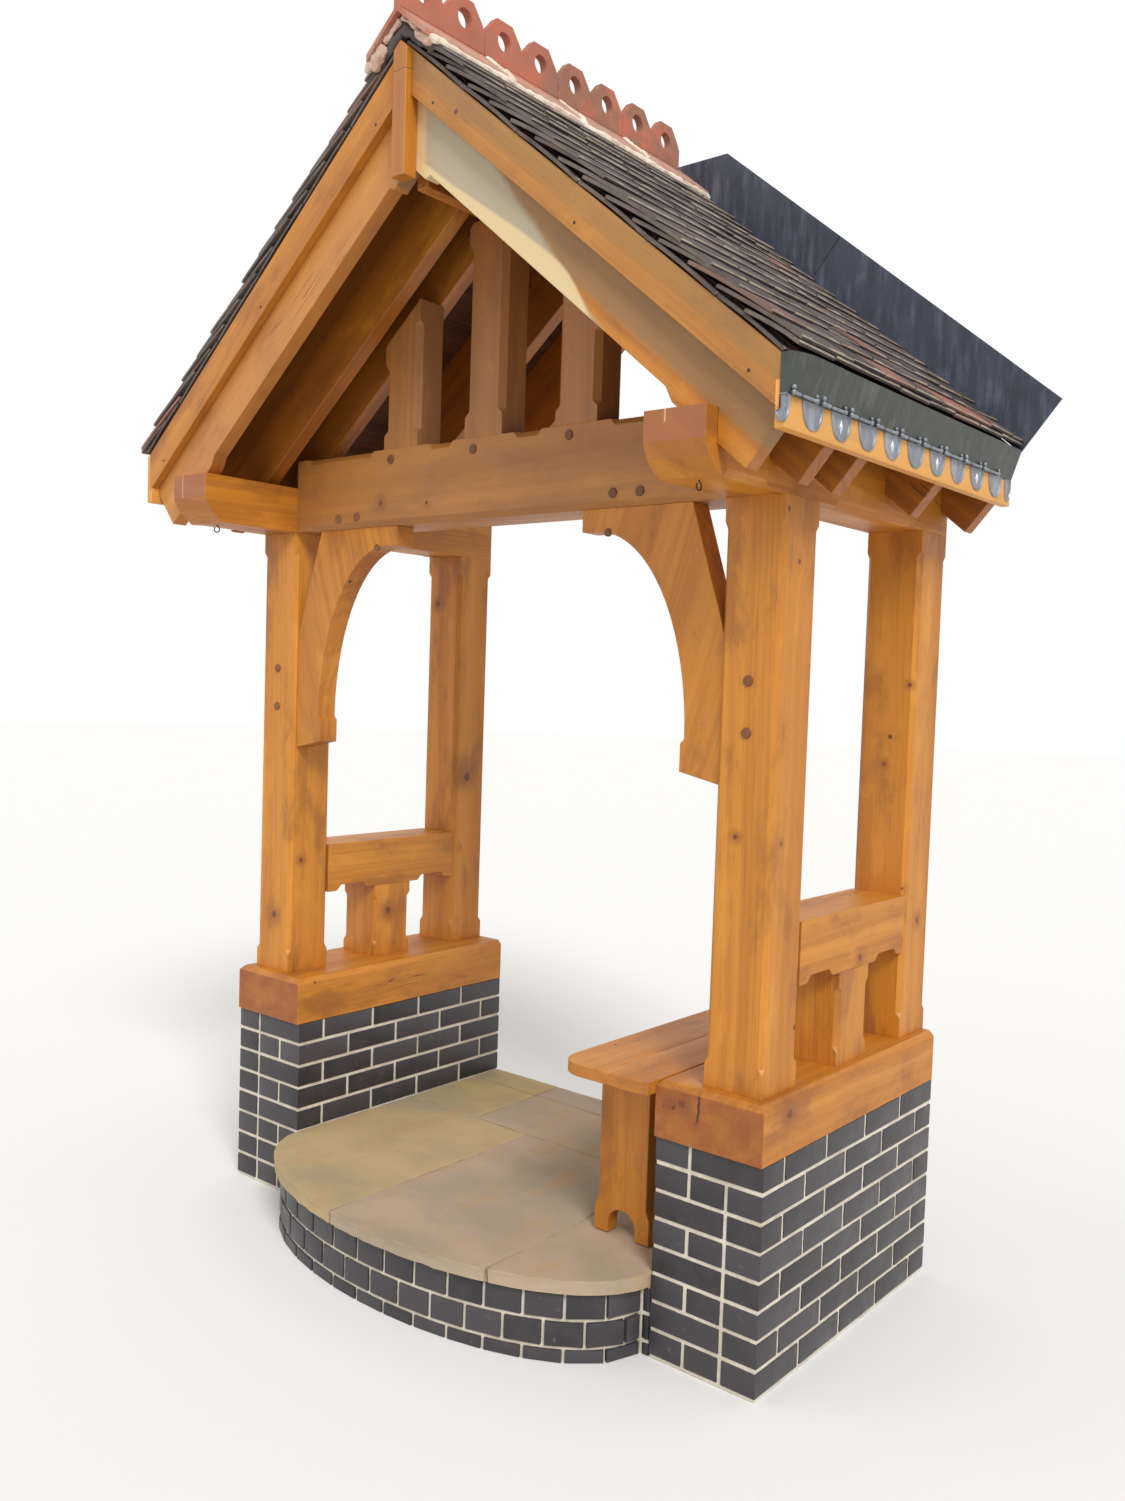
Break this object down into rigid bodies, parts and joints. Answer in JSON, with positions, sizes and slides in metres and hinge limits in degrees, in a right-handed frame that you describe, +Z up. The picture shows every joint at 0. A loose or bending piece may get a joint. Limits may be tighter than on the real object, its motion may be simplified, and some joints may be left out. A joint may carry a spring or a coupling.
{
  "type": "porch canopy",
  "caption": "Oak-framed porch canopy with a tiled gable roof on posts and dwarf brick walls, with a curved brick step and a side bench, fastened to a house wall.",
  "frame": {"origin": "on the porch centreline, in the plane of the house wall, at the foot of the brickwork", "axes": "+X to the right facing the house, +Y into the house wall, +Z up"},
  "size_m": [2.7066, 1.3545, 3.696],
  "materials": {
    "brick": "smooth charcoal brick with cream mortar",
    "stone": "riven sandstone",
    "oak": "oiled oak",
    "roof_tile": "matt dark clay",
    "ridge_tile": "matt terracotta",
    "lead": "dull sheet lead"
  },
  "bodies": {
    "root": {"wall_left": "brick", "wall_right": "brick", "step_riser": "brick", "stone_floor": "stone", "sill_left": "oak", "sill_right": "oak", "post_front_left": "oak", "post_front_right": "oak", "post_rear_left": "oak", "post_rear_right": "oak", "stub_post_left": "oak", "stub_post_right": "oak", "side_rail_left": "oak", "side_rail_right": "oak", "wall_plate_left": "oak", "wall_plate_right": "oak", "tie_beam": "oak", "brace_left": "oak", "brace_right": "oak", "king_post": "oak", "strut_left": "oak", "strut_right": "oak", "rafters_left": "oak", "rafters_right": "oak", "ridge_board": "oak", "verge_rafter_left": "oak", "verge_rafter_right": "oak", "bargeboard_left": "oak", "bargeboard_right": "oak", "apex_block": "oak", "fascia_left": "oak", "fascia_right": "oak", "tile_slope_left": "roof_tile", "tile_slope_right": "roof_tile", "ridge_tiles": "ridge_tile", "flashing_left": "lead", "flashing_right": "lead", "eaves_lead_left": "lead", "eaves_lead_right": "lead", "bench_seat": "oak", "bench_leg": "oak"}
  },
  "joints": []
}
